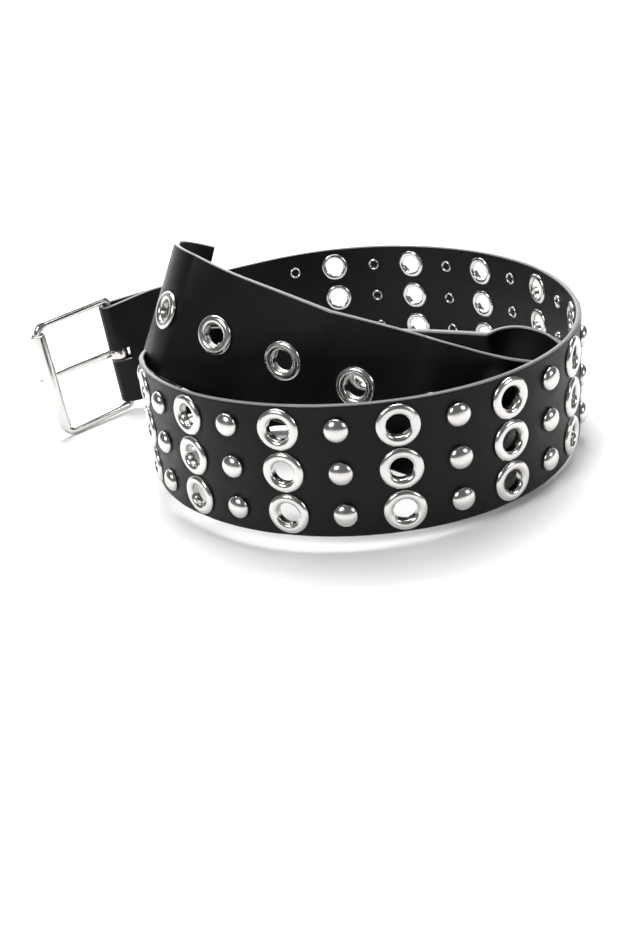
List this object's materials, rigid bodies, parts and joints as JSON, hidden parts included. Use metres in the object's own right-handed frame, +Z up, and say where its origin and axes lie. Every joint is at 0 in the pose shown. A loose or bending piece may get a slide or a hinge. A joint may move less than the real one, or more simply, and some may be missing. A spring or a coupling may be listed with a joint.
{
  "type": "studded belt",
  "caption": "Black leather belt lying coiled on its edge, with rows of metal eyelets and dome studs, a square roller buckle and a plain pierced tail.",
  "frame": {"origin": "under the middle of the bounding box, on the surface that the belt stands on", "axes": "+X to the right along the front of the coil, +Y from the front of the coil to its back, +Z up"},
  "size_m": [0.2352, 0.2074, 0.0931],
  "materials": {
    "leather": "smooth semi-gloss",
    "nickel": "polished"
  },
  "bodies": {
    "strap_body": {"strap": "leather", "cap_rivet": "nickel"},
    "frame_body": {"buckle_frame": "nickel"},
    "prong_body": {"prong": "nickel"},
    "roller_body": {"roller": "nickel"}
  },
  "joints": [
    {"name": "buckle_swing", "type": "hinge", "parent": "strap_body", "child": "frame_body", "pos_m": [-0.0814, 0.06153, 0.0309], "axis": [0.0163, -0.0861, 0.9962], "range_deg": [-80, 20]},
    {"name": "prong_lift", "type": "hinge", "parent": "frame_body", "child": "prong_body", "pos_m": [-0.0814, 0.06153, 0.0309], "axis": [-0.0163, 0.0861, -0.9962], "range_deg": [0, 75]},
    {"name": "roller_turn", "type": "hinge", "parent": "frame_body", "child": "roller_body", "pos_m": [-0.11173, 0.04037, 0.02957], "axis": [0.0163, -0.0861, 0.9962], "continuous": true}
  ]
}
